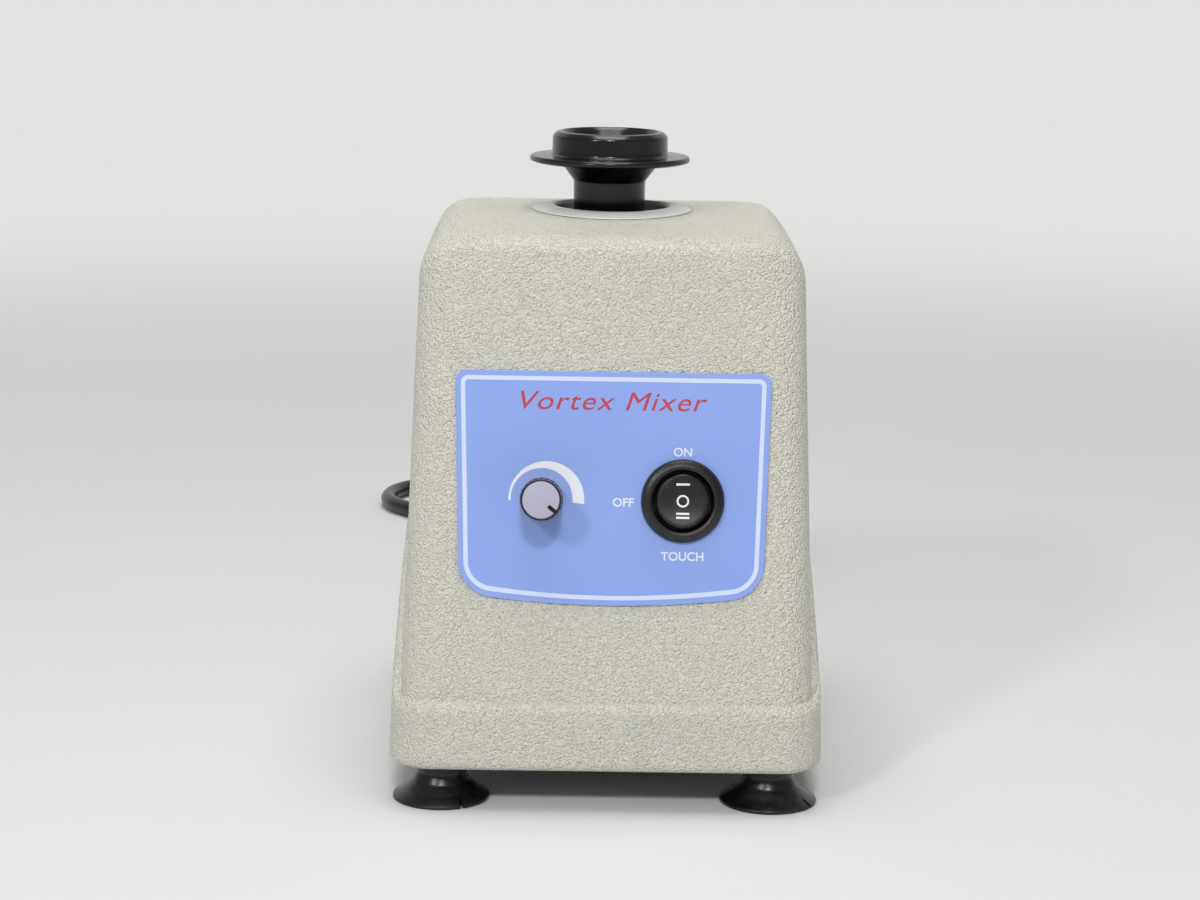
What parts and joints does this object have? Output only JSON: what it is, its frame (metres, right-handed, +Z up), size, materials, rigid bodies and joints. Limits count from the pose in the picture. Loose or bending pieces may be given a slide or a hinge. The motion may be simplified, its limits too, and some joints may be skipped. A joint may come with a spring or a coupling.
{
  "type": "vortex mixer",
  "caption": "Bench vortex mixer: light grey wedge housing on suction feet, blue control panel with rocker switch and speed knob, and a black rubber cup that a motor moves in a small circle.",
  "frame": {"origin": "on the bench under the middle of the housing, below the motor axis", "axes": "+Z up along the motor axis, -Y out of the control panel, +X to the right of someone facing the panel"},
  "size_m": [0.1613, 0.4297, 0.1813],
  "materials": {
    "cast_paint": "fine crinkle paint, light warm grey",
    "collar_grey": "smooth satin light grey",
    "label_blue": "printed film, blue with a paler keyline",
    "black_plastic": "satin black moulded plastic",
    "black_rubber": "glossy black moulded rubber",
    "lilac_cap": "pale lilac grey",
    "steel": "plain steel",
    "zinc_plate": "plated sheet steel",
    "brass": "plain brass",
    "nylon": "natural nylon",
    "board": "circuit board",
    "aluminium": "machined",
    "red_film": "shrink sleeve",
    "green_block": "moulded terminal block",
    "cord_black": "glossy black cord sheath"
  },
  "bodies": {
    "chassis": {"housing": "cast_paint", "top_collar": "collar_grey", "control_label": "label_blue", "base_plate": "zinc_plate", "foot_front_left": "black_rubber", "foot_front_right": "black_rubber", "foot_rear_left": "black_rubber", "foot_rear_right": "black_rubber", "foot_screw_front_left": "steel", "foot_screw_front_right": "steel", "foot_screw_rear_left": "steel", "foot_screw_rear_right": "steel", "guide_post_front_left": "steel", "guide_post_front_right": "steel", "guide_post_rear_left": "steel", "guide_post_rear_right": "steel", "return_spring_front_left": "steel", "return_spring_front_right": "steel", "return_spring_rear_left": "steel", "return_spring_rear_right": "steel", "switch_body": "black_plastic", "pot_body": "zinc_plate", "pot_nut": "brass", "touch_switch_body": "black_plastic", "touch_switch_bracket": "steel", "control_board": "board", "board_standoff_front_left": "brass", "board_standoff_front_right": "brass", "board_standoff_rear_left": "brass", "board_standoff_rear_right": "brass", "heat_sink": "aluminium", "capacitor": "red_film", "terminal_block": "green_block", "strain_relief": "black_rubber", "power_cord": "cord_black", "cord_coil": "cord_black", "plug_lead": "cord_black", "plug_body": "black_plastic", "plug_blade_left": "brass", "plug_blade_right": "brass", "plug_ground_pin": "brass"},
    "motor_carriage": {"carriage_plate": "zinc_plate", "motor_can": "zinc_plate", "motor_end_upper": "aluminium", "motor_end_lower": "aluminium", "motor_bearing_upper": "steel", "motor_bearing_lower": "steel", "guide_ring": "nylon"},
    "rotor": {"motor_shaft": "steel", "rotor_core": "zinc_plate", "eccentric_hub": "steel", "counterweight": "brass"},
    "cup_head": {"drive_head": "aluminium", "head_bearing": "steel", "cup": "black_rubber"},
    "switch_rocker": {"rocker": "black_plastic"},
    "speed_knob": {"knob": "black_plastic", "knob_cap": "lilac_cap", "pot_shaft": "steel"},
    "touch_plunger": {"touch_switch_plunger": "nylon"}
  },
  "joints": [
    {"name": "touch_press", "type": "slide", "parent": "chassis", "child": "motor_carriage", "axis": [0, 0, 1], "range_m": [-0.0015, 0], "stiffness_N_per_m": 8000, "springref_m": 0.0045, "deforming": ["return_spring_front_left", "return_spring_front_right", "return_spring_rear_left", "return_spring_rear_right"]},
    {"name": "motor_spin", "type": "hinge", "parent": "motor_carriage", "child": "rotor", "pos_m": [0, 0, 0.1], "axis": [0, 0, 1], "continuous": true},
    {"name": "head_orbit", "type": "hinge", "parent": "rotor", "child": "cup_head", "pos_m": [-0.00081, 0.00183, 0.135], "axis": [0, 0, 1], "continuous": true},
    {"name": "switch_rock", "type": "hinge", "parent": "chassis", "child": "switch_rocker", "pos_m": [0.02, -0.06604, 0.08579], "axis": [1, 0, 0], "range_deg": [-10, 10]},
    {"name": "knob_turn", "type": "hinge", "parent": "chassis", "child": "speed_knob", "pos_m": [-0.0187, -0.06604, 0.08579], "axis": [0, -0.9816, 0.1908], "range_deg": [-11, 269]},
    {"name": "touch_switch_press", "type": "slide", "parent": "chassis", "child": "touch_plunger", "axis": [0, 0, 1], "range_m": [-0.0015, 0]}
  ],
  "couplings": [
    {"joint": "head_orbit", "follows": "motor_spin", "ratio": -1},
    {"joint": "touch_switch_press", "follows": "touch_press", "ratio": 1}
  ]
}
